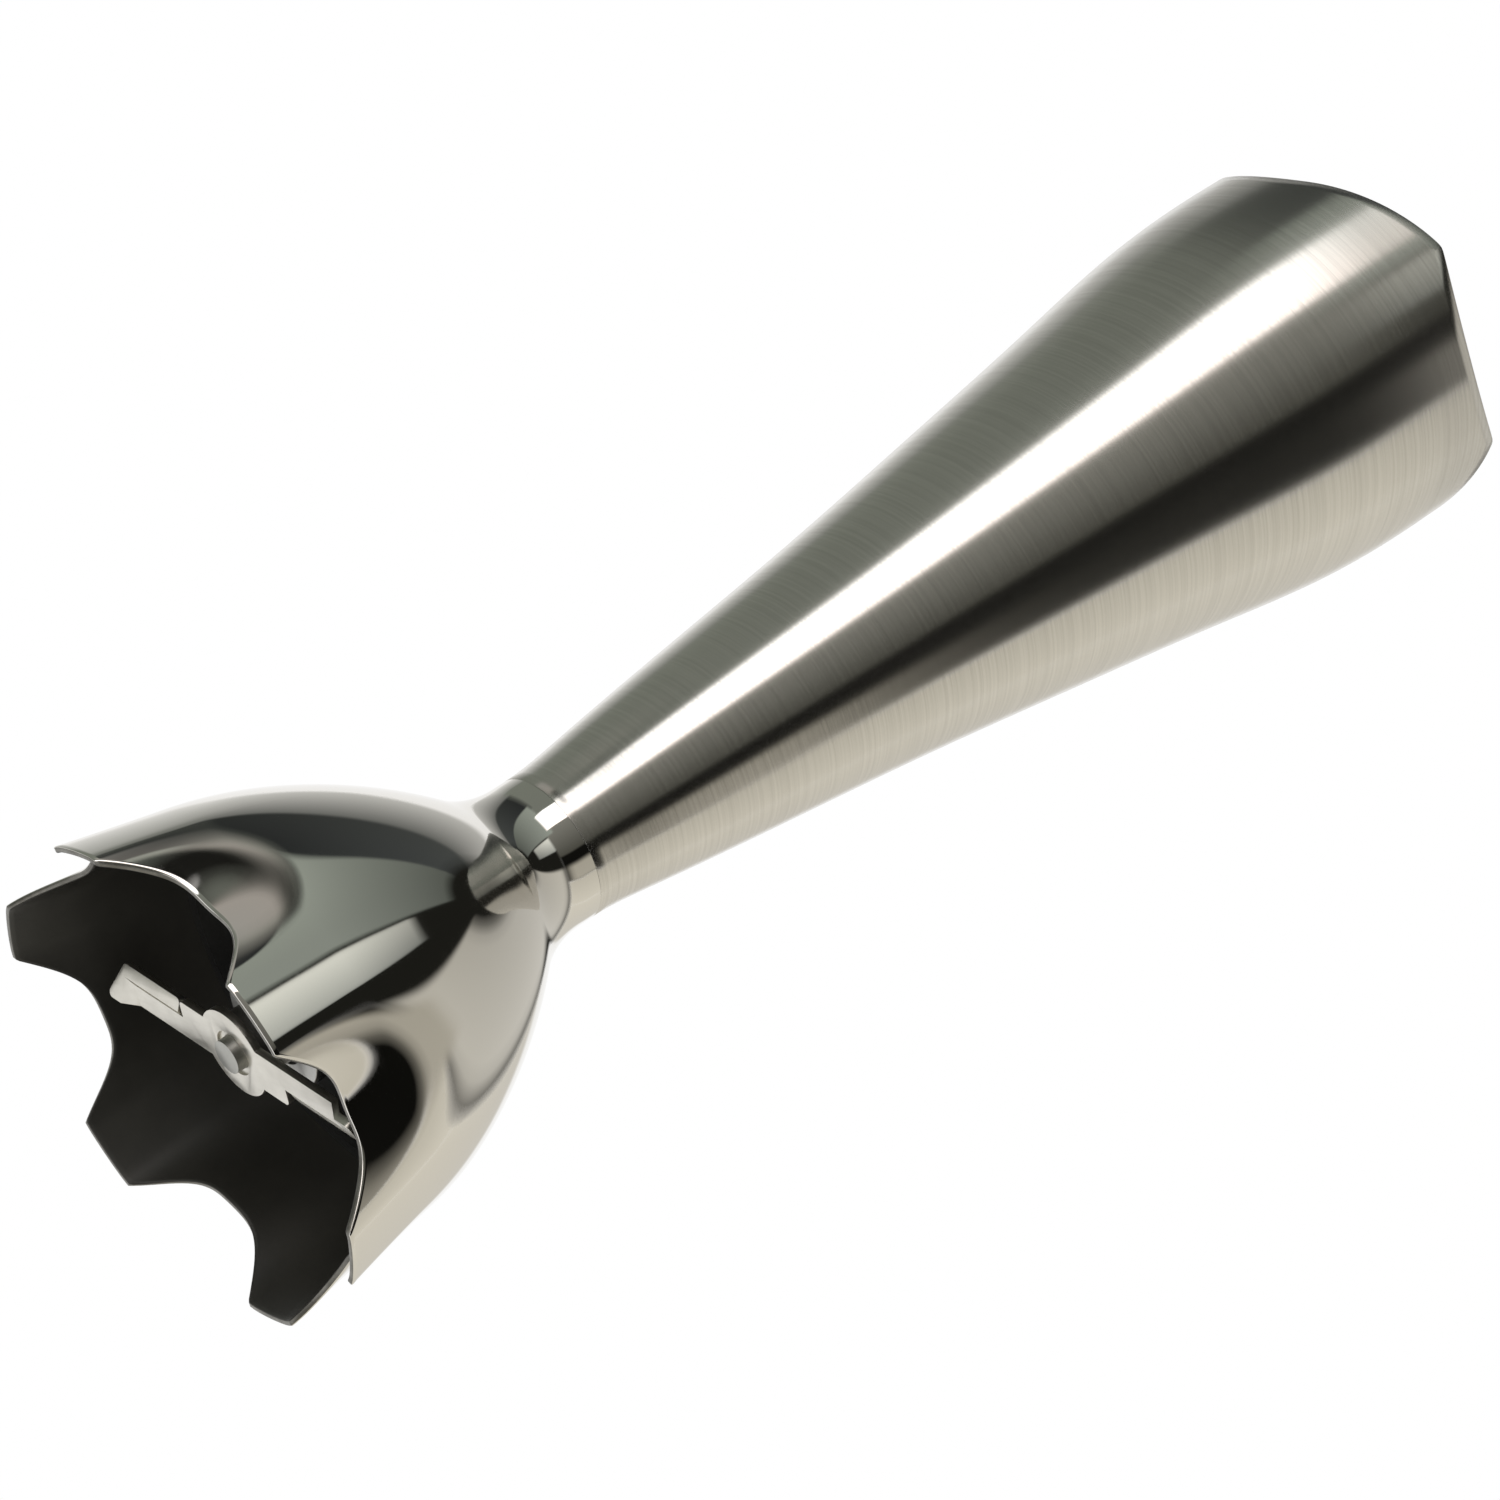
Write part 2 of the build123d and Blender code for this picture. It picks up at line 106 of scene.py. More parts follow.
def bakeModifier(piece, modifier):
    # the modifier's result becomes the piece's own plain mesh
    graph = bpy.context.evaluated_depsgraph_get()
    mesh = bpy.data.meshes.new_from_object(piece.evaluated_get(graph))
    piece.modifiers.remove(modifier)
    piece.data = mesh


def roundTheAxis(radius, height, degrees):
    turn = radians(degrees)
    return (radius * cos(turn) * mm, radius * sin(turn) * mm, height * mm)


# Materials
noiseRange = (0.3, 0.7)     # where most values of a noise texture lie


# Stainless steel, mirror polished: clear reflections that waver a little where the sheet was buffed
def makePolishedSteel():
    look = {"colour": "#e3e0da", "roughness": (0.027, 0.0675), "rippleSize": 9.0, "rippleDepth": 0.012,
            "buffWidth": 0.5, "buffLength": 100 / 3}
    material, tree = newMaterial("stainlessSteelMirrorPolished")
    place = addNode(tree, "ShaderNodeTexCoord")
    ripple = addNode(tree, "ShaderNodeTexNoise", {
        "Vector": place.outputs["Object"], "Scale": 1 / (look["rippleSize"] * mm), "Detail": 1.0})
    bump = addNode(tree, "ShaderNodeBump", {
        "Height": ripple.outputs["Fac"], "Strength": 1.0, "Distance": look["rippleDepth"] * mm})
    # buffing haze in rings round the axis, drawn about ten times as coarse as the real marks
    along = 1 / (look["buffLength"] * mm)
    stretch = addNode(tree, "ShaderNodeMapping", {
        "Vector": place.outputs["Object"], "Scale": (along, along, 1 / (look["buffWidth"] * mm))})
    haze = addNode(tree, "ShaderNodeTexNoise", {"Vector": stretch.outputs[0], "Scale": 1.0, "Detail": 3.0})
    rough = addNode(tree, "ShaderNodeMapRange", {
        "Value": haze.outputs["Fac"], "To Min": look["roughness"][0], "To Max": look["roughness"][1]})
    steel = addNode(tree, "ShaderNodeBsdfPrincipled", {
        "Base Color": linear(look["colour"]), "Metallic": 1.0,
        "Roughness": rough.outputs[0], "Normal": bump.outputs[0]})
    addNode(tree, "ShaderNodeOutputMaterial", {"Surface": steel.outputs[0]})
    return material


# Stainless steel, brushed round the axis: sharp light bands along the tube, smeared end to end
def makeBrushedSteel():
    look = {"shade": "#d2cfc9", "colour": "#dfdcd6", "stops": (0.3, 0.62), "roughness": (0.2332, 0.2068),
            "stretch": 0.8, "quarterTurn": 0.25, "lineWidth": 0.4, "lineLength": 60.0, "lineDepth": 0.003}
    material, tree = newMaterial("stainlessSteelBrushedRound")
    place = addNode(tree, "ShaderNodeTexCoord")
    # brush lines drawn five times as wide as real ones, which would be too fine to show
    along = 1 / (look["lineLength"] * mm)
    lines = addNode(tree, "ShaderNodeMapping", {
        "Vector": place.outputs["Object"], "Scale": (along, along, 1 / (look["lineWidth"] * mm))})
    scratch = addNode(tree, "ShaderNodeTexNoise", {
        "Vector": lines.outputs[0], "Scale": 1.0, "Detail": 4.0, "Roughness": 0.65})
    tone = addNode(tree, "ShaderNodeValToRGB", {"Fac": scratch.outputs["Fac"]})
    for i, colour in enumerate((look["shade"], look["colour"])):
        tone.color_ramp.elements[i].position = look["stops"][i]
        tone.color_ramp.elements[i].color = linear(colour)
    rough = addNode(tree, "ShaderNodeMapRange", {
        "Value": scratch.outputs["Fac"], "From Min": noiseRange[0], "From Max": noiseRange[1],
        "To Min": look["roughness"][0], "To Max": look["roughness"][1]})
    bump = addNode(tree, "ShaderNodeBump", {
        "Height": scratch.outputs["Fac"], "Strength": 1.0, "Distance": look["lineDepth"] * mm})
    around = addNode(tree, "ShaderNodeTangent", direction_type="RADIAL", axis="Z")
    steel = addNode(tree, "ShaderNodeBsdfPrincipled", {
        "Base Color": tone.outputs["Color"], "Metallic": 1.0, "Roughness": rough.outputs[0],
        "Anisotropic": look["stretch"], "Anisotropic Rotation": look["quarterTurn"],
        "Tangent": around.outputs[0], "Normal": bump.outputs[0]})
    addNode(tree, "ShaderNodeOutputMaterial", {"Surface": steel.outputs[0]})
    return material


# Stainless steel inside the bell, given painted shade: an almost black colour where the real steel mirrors
# the dark hollow, with a faint broad sheen
def makeInsideSteelPaintedShade():
    look = {"colour": "#2b2a25", "worn": "#383630", "stops": (0.35, 0.7), "roughness": 0.42, "gloss": 0.35,
            "patch": 12.0, "grit": 0.6, "gritDepth": 0.02, "gritStrength": 0.5}
    material, tree = newMaterial("stainlessSteelInsidePaintedShade")
    place = addNode(tree, "ShaderNodeTexCoord")
    patch = addNode(tree, "ShaderNodeTexNoise", {
        "Vector": place.outputs["Object"], "Scale": 1 / (look["patch"] * mm), "Detail": 4.0})
    # painted shade: both tones, the colour and the lighter one named worn, stand for the hollow's shade and
    # are mixed in random patches
    tone = addNode(tree, "ShaderNodeValToRGB", {"Fac": patch.outputs["Fac"]})
    for i, colour in enumerate((look["colour"], look["worn"])):
        tone.color_ramp.elements[i].position = look["stops"][i]
        tone.color_ramp.elements[i].color = linear(colour)
    grit = addNode(tree, "ShaderNodeTexNoise", {
        "Vector": place.outputs["Object"], "Scale": 1 / (look["grit"] * mm), "Detail": 2.0})
    bump = addNode(tree, "ShaderNodeBump", {
        "Height": grit.outputs["Fac"], "Strength": look["gritStrength"], "Distance": look["gritDepth"] * mm})
    steel = addNode(tree, "ShaderNodeBsdfPrincipled", {
        "Base Color": tone.outputs["Color"], "Metallic": 0.0, "Roughness": look["roughness"],
        "Specular IOR Level": look["gloss"], "Normal": bump.outputs[0]})
    addNode(tree, "ShaderNodeOutputMaterial", {"Surface": steel.outputs[0]})
    return material


# Metals and plastics that share one recipe: a base tone, worn patches and a fine surface grain
finishes = {
    # stamped stainless, ground flat: pale warm grey with short grinding marks
    "blade_steel": {
        "name": "stainlessSteelStampedGround", "colour": "#d9d6cd", "worn": "#c6c3ba", "metallic": 1.0,
        "roughness": 0.34, "grain": (0.5, 5.0, 0.5), "depth": 0.008, "patch": 6.0},
    # cut edge of the sheet: torn a little by the shears, darker than the faces
    "cut_edge": {
        "name": "stainlessSteelSheared", "colour": "#6c6a64", "worn": "#8a8882", "metallic": 1.0,
        "roughness": 0.42, "grain": (0.3, 0.3, 0.3), "depth": 0.01, "patch": 2.5},
    # ground shaft steel: smooth, a little darker
    "shaft_steel": {
        "name": "steelCentrelessGround", "colour": "#b2b2ac", "worn": "#9c9b96", "metallic": 1.0,
        "roughness": 0.4, "grain": (6.0, 6.0, 0.4), "depth": 0.004, "patch": 8.0},
    # rolled and punched strip: satin, with faint rolling marks
    "stamped_steel": {
        "name": "steelStripPunched", "colour": "#bdbcb8", "worn": "#9f9e9a", "metallic": 1.0,
        "roughness": 0.36, "grain": (3.0, 0.4, 0.4), "depth": 0.006, "patch": 5.0},
    # glass-filled nylon in a spark-eroded mould: matt black with a fine even grain
    "black_plastic": {
        "name": "nylonMouldedBlack", "colour": "#191917", "worn": "#242421", "metallic": 0.0,
        "roughness": 0.46, "grain": (0.45, 0.45, 0.45), "depth": 0.03, "patch": 9.0},
    # unfilled acetal: milky off-white, slightly waxy
    "coupling_plastic": {
        "name": "acetalMouldedNatural", "colour": "#dcd8cc", "worn": "#cbc6b8", "metallic": 0.0,
        "roughness": 0.38, "grain": (0.8, 0.8, 0.8), "depth": 0.012, "patch": 4.0},
    # oil-filled sintered bronze: grainy, brown gold
    "bush_bronze": {
        "name": "bronzeSintered", "colour": "#b98d52", "worn": "#8d6836", "metallic": 1.0,
        "roughness": 0.42, "grain": (0.35, 0.35, 0.35), "depth": 0.02, "patch": 1.2},
    # moulded nitrile rubber: soft black with a dusty bloom
    "seal_rubber": {
        "name": "nitrileRubberMoulded", "colour": "#161615", "worn": "#2b2a28", "metallic": 0.0,
        "roughness": 0.68, "grain": (0.5, 0.5, 0.5), "depth": 0.02, "patch": 3.5},
}
wear = {"stops": (0.38, 0.72), "roughnessShare": (0.85, 1.15)}      # the same for all of them


def makeFinish(look):
    material, tree = newMaterial(look["name"])
    place = addNode(tree, "ShaderNodeTexCoord")
    patch = addNode(tree, "ShaderNodeTexNoise", {
        "Vector": place.outputs["Object"], "Scale": 1 / (look["patch"] * mm),
        "Detail": 5.0, "Roughness": 0.6})
    tone = addNode(tree, "ShaderNodeValToRGB", {"Fac": patch.outputs["Fac"]})
    for i, colour in enumerate((look["colour"], look["worn"])):
        tone.color_ramp.elements[i].position = wear["stops"][i]
        tone.color_ramp.elements[i].color = linear(colour)
    # the grain is drawn at about three times its real size, so that it shows
    grainPlace = addNode(tree, "ShaderNodeMapping", {
        "Vector": place.outputs["Object"], "Scale": tuple(1 / (size * mm) for size in look["grain"])})
    grain = addNode(tree, "ShaderNodeTexNoise", {
        "Vector": grainPlace.outputs[0], "Scale": 1.0, "Detail": 3.0})
    smoothest, roughest = [look["roughness"] * share for share in wear["roughnessShare"]]
    rough = addNode(tree, "ShaderNodeMapRange", {
        "Value": grain.outputs["Fac"], "From Min": noiseRange[0], "From Max": noiseRange[1],
        "To Min": smoothest, "To Max": roughest})
    bump = addNode(tree, "ShaderNodeBump", {
        "Height": grain.outputs["Fac"], "Strength": 1.0, "Distance": look["depth"] * mm})
    surface = addNode(tree, "ShaderNodeBsdfPrincipled", {
        "Base Color": tone.outputs["Color"], "Metallic": look["metallic"],
        "Roughness": rough.outputs[0], "Normal": bump.outputs[0]})
    addNode(tree, "ShaderNodeOutputMaterial", {"Surface": surface.outputs[0]})
    return material


polishedSteel = makePolishedSteel()
brushedSteel = makeBrushedSteel()
insideSteelPaintedShade = makeInsideSteelPaintedShade()
slotMaterials = {slot: makeFinish(look) for slot, look in finishes.items()}
slotMaterials["polished_steel"] = polishedSteel
slotMaterials["brushed_steel"] = brushedSteel
print("materials made:", len(slotMaterials) + 1)


# Bell: one lobe of the wall, a scallop with half a tooth on each side, repeated round the axis
bell = {
    "mouthRadius": 32.25, "sheet": 0.8, "skirtHeight": 14.0, "skirtFlare": 12.3,
    "shoulderAngle": 41.5, "neckRadius": 9.75, "neckFillet": 13.5, "neckLand": 2.0,
    "teeth": 6, "toothHalfAngle": 8.33, "scallopDepth": 6.5, "scallopRoundness": 1.28,
    "dimpleDepth": 4.19, "dimpleHeight": 14.0, "dimpleMargin": 2.4, "dimpleSoftness": 2.0,
    "edgeBreak": 0.12,      # small round on the cut edge, which catches the light
    "edgeMarks": (0.4, 0.6),    # a face marked between these is the cut edge, above them the inside
    "columnStep": 1.0, "neckRows": 18, "wallRows": 70, "slopeStep": 0.05,
    "lobeSeam": 0.01, "seam": 0.001,
}
flare = radians(bell["skirtFlare"])
shoulder = radians(bell["shoulderAngle"])
skirtRadius = bell["mouthRadius"] - bell["skirtHeight"] * tan(flare)
domeRadius = ((skirtRadius - bell["neckRadius"] - bell["neckFillet"] * (1 - cos(shoulder)))
              / (cos(flare) - cos(shoulder)))
domeCentre = (skirtRadius - domeRadius * cos(flare), bell["skirtHeight"] - domeRadius * sin(flare))
neckHeight = (bell["skirtHeight"] + bell["neckFillet"] * sin(shoulder)
              + domeRadius * (sin(shoulder) - sin(flare)))
jointHeight = neckHeight + bell["neckLand"]     # where the bell meets the tube


def edgeRise(angle):
    # height of the skirt's edge, above the teeth in a scallop and below them in a tooth
    corner = bell["teeth"] * radians(180 / bell["teeth"] - bell["toothHalfAngle"])
    fullness = bell["scallopRoundness"]
    swing = (bell["scallopDepth"] + fullness * (1 - cos(2 * corner))) / (1 - cos(corner))
    turn = bell["teeth"] * radians(angle)
    return bell["scallopDepth"] + fullness - swing + swing * cos(turn) - fullness * cos(2 * turn)


def wallRadius(angle, height):
    # dome above, cone below, pressed in by a soft dimple above each scallop
    radius = bell["mouthRadius"] - height * tan(flare)
    if height > bell["skirtHeight"]:
        radius = domeCentre[0] + sqrt(domeRadius ** 2 - (height - domeCentre[1]) ** 2)
    halfAngle = 180 / bell["teeth"] - bell["toothHalfAngle"] + bell["dimpleMargin"]
    across = max(0.0, 1 - (angle / halfAngle) ** 2) ** bell["dimpleSoftness"]
    return radius - bell["dimpleDepth"] * across * exp(-(height / bell["dimpleHeight"]) ** 2)


def wallPoint(angle, height, depth):
    # a point of the wall, this deep inside its outer face
    step = bell["slopeStep"]
    slope = (wallRadius(angle, height - step) - wallRadius(angle, height + step)) / (2 * step)
    normal = Vector((1, slope)).normalized()
    return Vector((wallRadius(angle, height), height)) - normal * depth


def wallFace(angle, depth):
    # one face of the sheet from the joint down to the edge, as radius and height
    points = [Vector((bell["neckRadius"] - depth, jointHeight))]
    turn = bell["neckFillet"] + depth
    for i in range(bell["neckRows"] + 1):
        bend = shoulder * i / bell["neckRows"]
        points.append(Vector((bell["neckRadius"] + bell["neckFillet"] - turn * cos(bend),
                              neckHeight - turn * sin(bend))))
    top = domeCentre[1] + domeRadius * sin(shoulder)
    low = max(edgeRise(angle), depth * sin(flare))      # teeth end flat on the floor
    for i in range(1, bell["wallRows"] + 1):
        points.append(wallPoint(angle, top + (low - top) * i / bell["wallRows"], depth))
    return points


def brokenEdge(outer, inner, size):
    # the two corners of a cut edge, each drawn back a little both ways
    across = (inner[-1] - outer[-1]).normalized() * size
    outer[-1:] = [outer[-1] + (outer[-2] - outer[-1]).normalized() * size, outer[-1] + across]
    inner[-1:] = [inner[-1] + (inner[-2] - inner[-1]).normalized() * size, inner[-1] - across]


def lobeMesh():
    half = 180 / bell["teeth"]
    corner = half - bell["toothHalfAngle"]
    steps = int(2 * half / bell["columnStep"])
    angles = sorted([-half + i * bell["columnStep"] for i in range(steps + 1)] + [-corner, corner])
    columns = []
    for angle in angles:
        outer = wallFace(angle, 0)
        inner = wallFace(angle, bell["sheet"])
        brokenEdge(outer, inner, bell["edgeBreak"])
        columns.append([roundTheAxis(p.x, p.y, angle) for p in outer + inner[::-1]])
    mesh = gridMesh("bellLobe", columns, False)
    # 0 on the outer face, a half on the cut edge, 1 on the inner face
    column = [0.0] * (len(outer) - 1) + [0.5, 0.5] + [1.0] * (len(inner) - 1)
    mesh.attributes.new("inside", "FLOAT", "POINT").data.foreach_set("value", column * len(angles))
    return mesh


def makeLobeTree(name, outside, edge, within):
    # repeats a lobe round Z, closes the seams and gives each face of the sheet its finish
    tree = bpy.data.node_groups.new(name, "GeometryNodeTree")
    tree.is_modifier = True
    sockets = {}
    for label, kind, way in (("Lobe", "NodeSocketGeometry", "INPUT"), ("Lobes", "NodeSocketInt", "INPUT"),
                             ("First angle", "NodeSocketFloat", "INPUT"),
                             ("Seam", "NodeSocketFloat", "INPUT"), ("Bell", "NodeSocketGeometry", "OUTPUT")):
        sockets[label] = tree.interface.new_socket(name=label, in_out=way, socket_type=kind).identifier
    given = addNode(tree, "NodeGroupInput")
    centres = addNode(tree, "GeometryNodePoints", {"Count": given.outputs["Lobes"]})
    number = addNode(tree, "GeometryNodeInputIndex")
    pitch = addNode(tree, "ShaderNodeMath", {0: 2 * pi, 1: given.outputs["Lobes"]}, operation="DIVIDE")
    turn = addNode(tree, "ShaderNodeMath", {
        0: number.outputs[0], 1: pitch.outputs[0], 2: given.outputs["First angle"]},
        operation="MULTIPLY_ADD")
    aim = addNode(tree, "ShaderNodeCombineXYZ", {"Z": turn.outputs[0]})
    copies = addNode(tree, "GeometryNodeInstanceOnPoints", {
        "Points": centres.outputs[0], "Instance": given.outputs["Lobe"], "Rotation": aim.outputs[0]})
    solid = addNode(tree, "GeometryNodeRealizeInstances", {"Geometry": copies.outputs[0]})
    closed = addNode(tree, "GeometryNodeMergeByDistance", {
        "Geometry": solid.outputs[0], "Distance": given.outputs["Seam"]})
    smooth = addNode(tree, "GeometryNodeSetShadeSmooth", {"Geometry": closed.outputs[0]})
    faced = addNode(tree, "GeometryNodeSetMaterial", {"Geometry": smooth.outputs[0], "Material": outside})
    side = addNode(tree, "GeometryNodeInputNamedAttribute", {"Name": "inside"}, data_type="FLOAT")
    cutFrom, insideFrom = bell["edgeMarks"]
    isCut = addNode(tree, "FunctionNodeCompare", {
        0: side.outputs[0], 1: cutFrom}, operation="GREATER_THAN")
    cut = addNode(tree, "GeometryNodeSetMaterial", {
        "Geometry": faced.outputs[0], "Selection": isCut.outputs[0], "Material": edge})
    isInside = addNode(tree, "FunctionNodeCompare", {
        0: side.outputs[0], 1: insideFrom}, operation="GREATER_THAN")
    lined = addNode(tree, "GeometryNodeSetMaterial", {
        "Geometry": cut.outputs[0], "Selection": isInside.outputs[0], "Material": within})
    addNode(tree, "NodeGroupOutput", {"Bell": lined.outputs[0]})
    return tree, sockets


def bakeNodes(piece, tree, sockets, values):
    modifier = piece.modifiers.new("shape", "NODES")
    modifier.node_group = tree
    for label, value in values.items():
        modifier[sockets[label]] = value
    bakeModifier(piece, modifier)


# the inner face of the sheet takes the steel with painted shade
lobeTree, lobeSockets = makeLobeTree("bellLobes", polishedSteel, slotMaterials["cut_edge"], insideSteelPaintedShade)
bellPiece = newObject("bell_shell", lobeMesh())
bakeNodes(bellPiece, lobeTree, lobeSockets, {
    "Lobes": bell["teeth"], "First angle": pi / bell["teeth"], "Seam": bell["lobeSeam"] * mm})
closeSeams(bellPiece.data, bell["seam"])
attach(bellPiece, "wand")
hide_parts("bell_guard")
print("bell:", len(bellPiece.data.polygons), "faces")


# Tube: a flared shell turned about Z, with a wavy rim
tube = {
    "topRadius": 27.0, "sheet": 0.8, "length": 202.0, "rimBand": 8.0,
    # the flare's points, as shares of its height and of its growth in radius
    "flareShape": ((0.0, 0.0), (0.068, 0.052), (0.389, 0.371), (0.563, 0.571),
                   (0.738, 0.783), (0.884, 0.957), (1.0, 1.0)),
    "peakAngle": 32.0, "frontDip": 4.1, "sideDip": 7.8, "sideDipRadius": 20.0, "peakRound": 0.17,
    "edgeBreak": 0.12, "columns": 360, "rows": 84, "seam": 0.001,
    "slopeRounds": 200, "dipRounds": 30,    # rounds until the slopes and the dips settle
    "slack": 1e-9,      # for rounding, where a height lies on a point of the flare
}
tubeHeight = tube["length"] - tube["rimBand"] - jointHeight
tubeGrowth = tube["topRadius"] - bell["neckRadius"]


def flareSlopes():
    # slopes of a smooth curve through the flare's points, upright at both ends
    points = tube["flareShape"]
    slopes = [0.0] * len(points)
    for _ in range(tube["slopeRounds"]):
        for i in range(1, len(points) - 1):
            before = points[i][0] - points[i - 1][0]
            after = points[i + 1][0] - points[i][0]
            rise = ((points[i][1] - points[i - 1][1]) / before ** 2
                    + (points[i + 1][1] - points[i][1]) / after ** 2)
            slopes[i] = ((3 * rise - slopes[i - 1] / before - slopes[i + 1] / after)
                         / (2 / before + 2 / after))
    return slopes


tubeSlopes = flareSlopes()


def tubeWall(height):
    # radius and slope of the tube's outer face at a height
    share = (height - jointHeight) / tubeHeight
    if share >= 1:
        return tube["topRadius"], 0.0
    points = tube["flareShape"]
    i = max(k for k in range(len(points) - 1) if points[k][0] <= share + tube["slack"])
    span = points[i + 1][0] - points[i][0]
    t = (share - points[i][0]) / span
    start, end = points[i][1], points[i + 1][1]
    startSlope, endSlope = tubeSlopes[i] * span, tubeSlopes[i + 1] * span
    # a cubic from one point to the next that keeps both slopes
    value = ((2 * t ** 3 - 3 * t ** 2 + 1) * start + (t ** 3 - 2 * t ** 2 + t) * startSlope
             + (3 * t ** 2 - 2 * t ** 3) * end + (t ** 3 - t ** 2) * endSlope)
    slope = ((6 * t ** 2 - 6 * t) * (start - end) + (3 * t ** 2 - 4 * t + 1) * startSlope
             + (3 * t ** 2 - 2 * t) * endSlope) / span
    return bell["neckRadius"] + tubeGrowth * value, tubeGrowth * slope / tubeHeight


def rimHeight(degrees):
    # a round dip front and back, a rounded valley on each side, and four softened peaks between
    radius = tube["topRadius"]
    valley = tube["sideDipRadius"]
    across = radius * sin(radians(tube["peakAngle"]))
    reach = radius * cos(radians(tube["peakAngle"]))
    x = abs(radius * cos(radians(degrees)))
    y = abs(radius * sin(radians(degrees)))
    bow = (across ** 2 + tube["frontDip"] ** 2) / (2 * tube["frontDip"])
    front = tube["length"] - tube["frontDip"] + bow - sqrt(max(0.0, bow ** 2 - min(x, bow) ** 2))
    drop = 0.0
    for _ in range(tube["dipRounds"]):
        slope = (tube["sideDip"] + drop) / reach
        drop = valley * (sqrt(1 + slope ** 2) - 1)
    side = tube["length"] - slope * (reach - y)
    if y < valley * slope / sqrt(1 + slope ** 2):       # inside the rounded bottom
        side = tube["length"] - tube["sideDip"] + valley - sqrt(valley ** 2 - y ** 2)
    middle = (front + side) / 2
    return middle - sqrt(((front - side) / 2) ** 2 + tube["peakRound"] ** 2)


def tubeMesh():
    columns = []
    for c in range(tube["columns"]):
        degrees = 360 * c / tube["columns"]
        top = rimHeight(degrees)
        outer, inner = [], []
        for r in range(tube["rows"] + 1):
            height = jointHeight + (top - jointHeight) * r / tube["rows"]
            radius, slope = tubeWall(height)
            outer.append(Vector((radius, height)))
            inner.append(Vector((radius - tube["sheet"] * sqrt(1 + slope ** 2), height)))
        brokenEdge(outer, inner, tube["edgeBreak"])
        outer.reverse()
        inner.reverse()
        brokenEdge(outer, inner, tube["edgeBreak"])
        columns.append([roundTheAxis(p.x, p.y, degrees) for p in outer + inner[::-1] + outer[:1]])
    return gridMesh("shaftTube", columns, True)


tubePiece = newObject("tube_shell", tubeMesh())
closeSeams(tubePiece.data, tube["seam"])
tubePiece.data.shade_smooth()
tubePiece.data.materials.append(brushedSteel)
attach(tubePiece, "wand")
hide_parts("shaft_tube")
print("tube:", len(tubePiece.data.polygons), "faces")


# Pieces that keep their solid's shape, with the sharp corners broken
softened = {
    "blade": {"piece": "blade_ground", "body": "rotor", "slot": "blade_steel",
              "width": 0.1, "segments": 2},
    "drive_coupling": {"piece": "coupling_moulded", "body": "rotor", "slot": "coupling_plastic",
                       "width": 0.25, "segments": 3},
    "coupling_socket": {"piece": "socket_moulded", "body": "wand", "slot": "black_plastic",
                        "width": 0.3, "segments": 3},
    "socket_gasket": {"piece": "gasket_moulded", "body": "wand", "slot": "seal_rubber",
                      "width": 0.5, "segments": 4},
    "seal_cap": {"piece": "cap_pressed", "body": "wand", "slot": "stamped_steel",
                 "width": 0.2, "segments": 3},
    "drive_shaft": {"piece": "shaft_ground", "body": "rotor", "slot": "shaft_steel",
                    "width": 0.15, "segments": 2},
}
corners = {"seam": 0.002, "flatBelow": 1, "bevelAbove": 35, "sharpAbove": 40}   # angles in degrees


def softenedCopy(node, settings):
    shape = bmesh.new()
    shape.from_mesh(frame["nodes"][node].data)
    bmesh.ops.remove_doubles(shape, verts=shape.verts, dist=corners["seam"] * mm)
    bmesh.ops.dissolve_limit(shape, angle_limit=radians(corners["flatBelow"]),
                             verts=shape.verts, edges=shape.edges)
    mesh = bpy.data.meshes.new(settings["piece"])
    shape.to_mesh(mesh)
    shape.free()
    piece = newObject(settings["piece"], mesh)
    bevel = piece.modifiers.new("corners", "BEVEL")
    bevel.width = settings["width"] * mm
    bevel.segments = settings["segments"]
    bevel.limit_method = "ANGLE"
    bevel.angle_limit = radians(corners["bevelAbove"])
    bevel.use_clamp_overlap = True
    bakeModifier(piece, bevel)
    piece.data.shade_smooth()
    piece.data.set_sharp_from_angle(angle=radians(corners["sharpAbove"]))
    piece.data.materials.clear()
    piece.data.materials.append(slotMaterials[settings["slot"]])
    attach(piece, settings["body"])
    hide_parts(node)
    return piece


for node, settings in softened.items():
    piece = softenedCopy(node, settings)
    print(settings["piece"] + ":", len(piece.data.polygons), "faces")

# Every solid takes the finish of its slot; those that nothing replaces show it on their own mesh
for subpart in frame["record"]["subparts"]:
    solid = frame["nodes"][subpart["node"]]
    solid.data.materials.clear()
    solid.data.materials.append(slotMaterials[subpart["material_slot"]])
print("solids finished:", len(frame["nodes"]))

